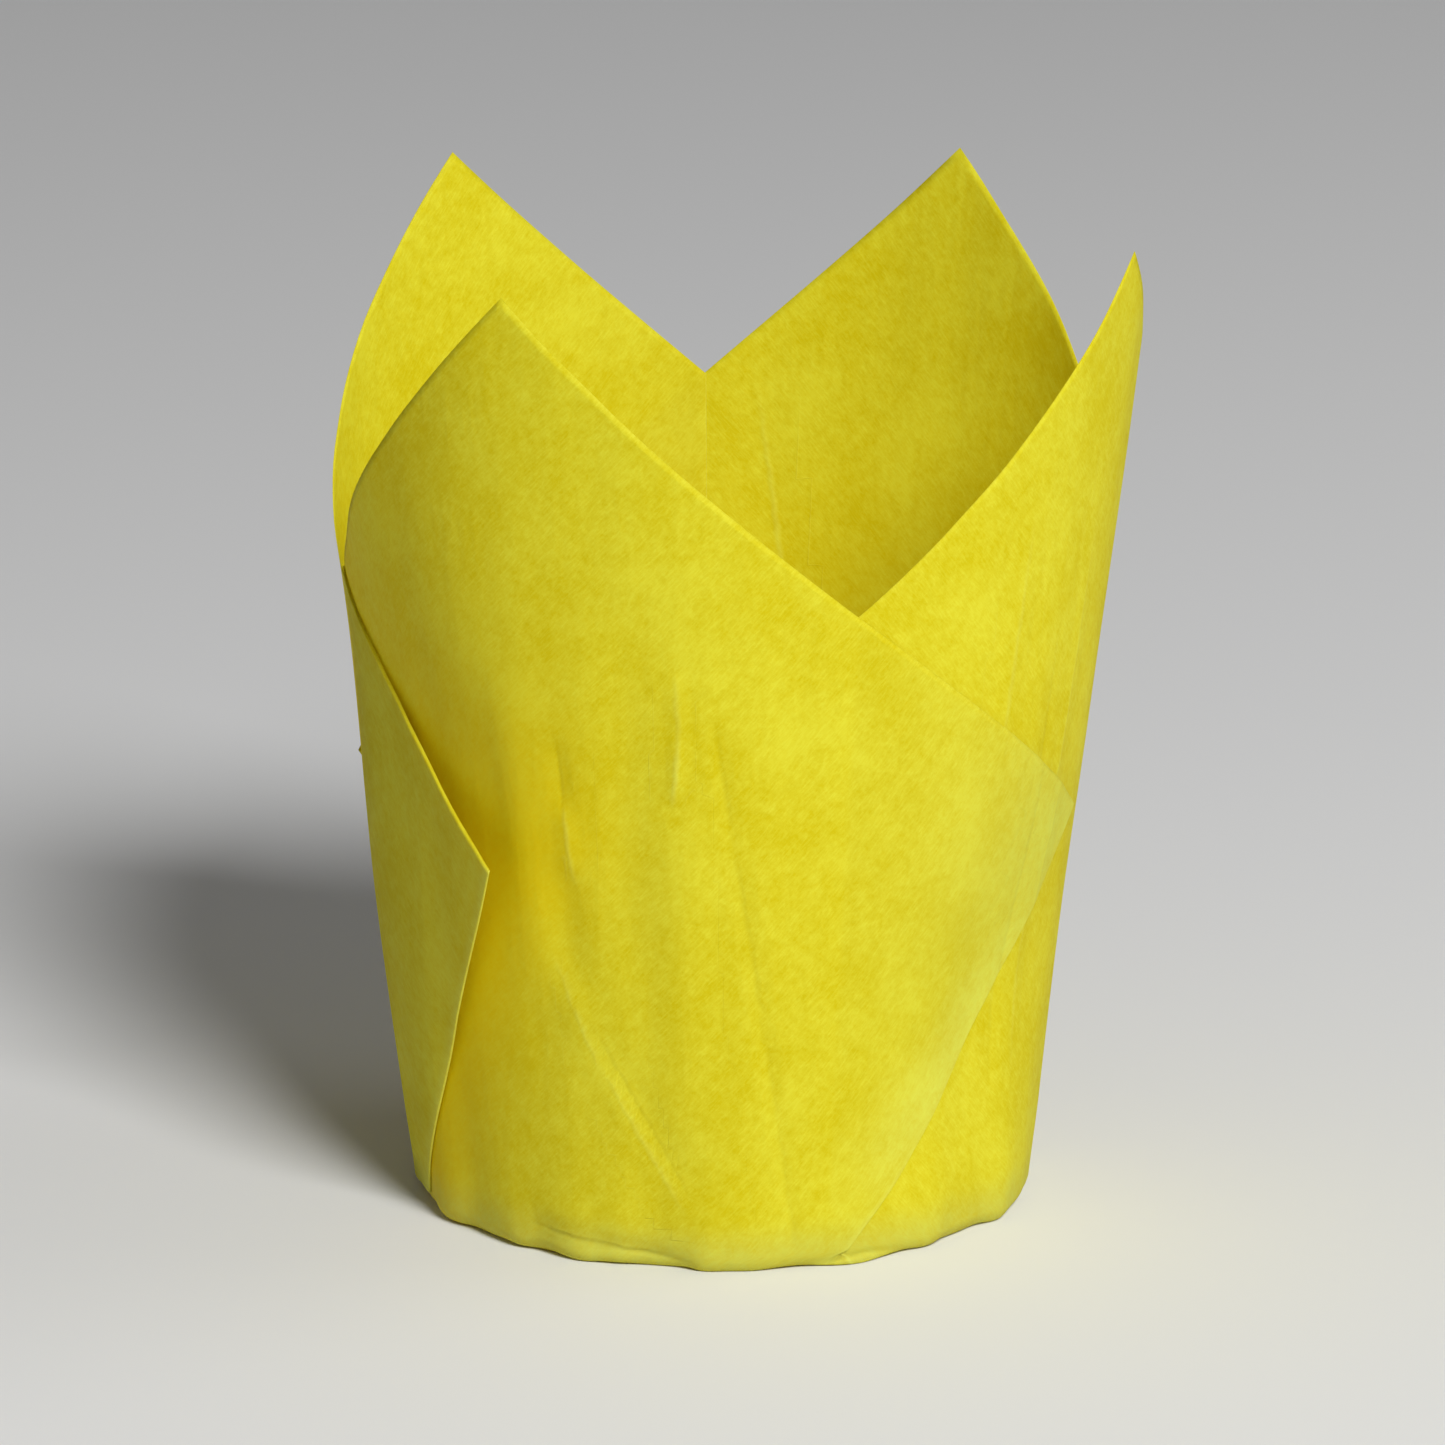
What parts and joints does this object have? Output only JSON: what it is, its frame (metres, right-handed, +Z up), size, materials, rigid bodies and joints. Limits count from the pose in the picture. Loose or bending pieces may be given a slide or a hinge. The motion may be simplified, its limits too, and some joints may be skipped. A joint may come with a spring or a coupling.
{
  "type": "tulip baking cup",
  "caption": "Folded square of yellow greaseproof paper forming a muffin case with a round flat base, flared wall, flat side pleats and pointed upstanding corners.",
  "frame": {"origin": "middle of the flat round base, on the surface that the cup stands on", "axes": "+Z up out of the open top, -Y towards the front, +X to the right seen from the front"},
  "size_m": [0.0668, 0.0674, 0.0815],
  "materials": {
    "paper": "matt yellow greaseproof paper, slightly translucent"
  },
  "bodies": {
    "root": {"paper_cup": "paper"}
  },
  "joints": []
}
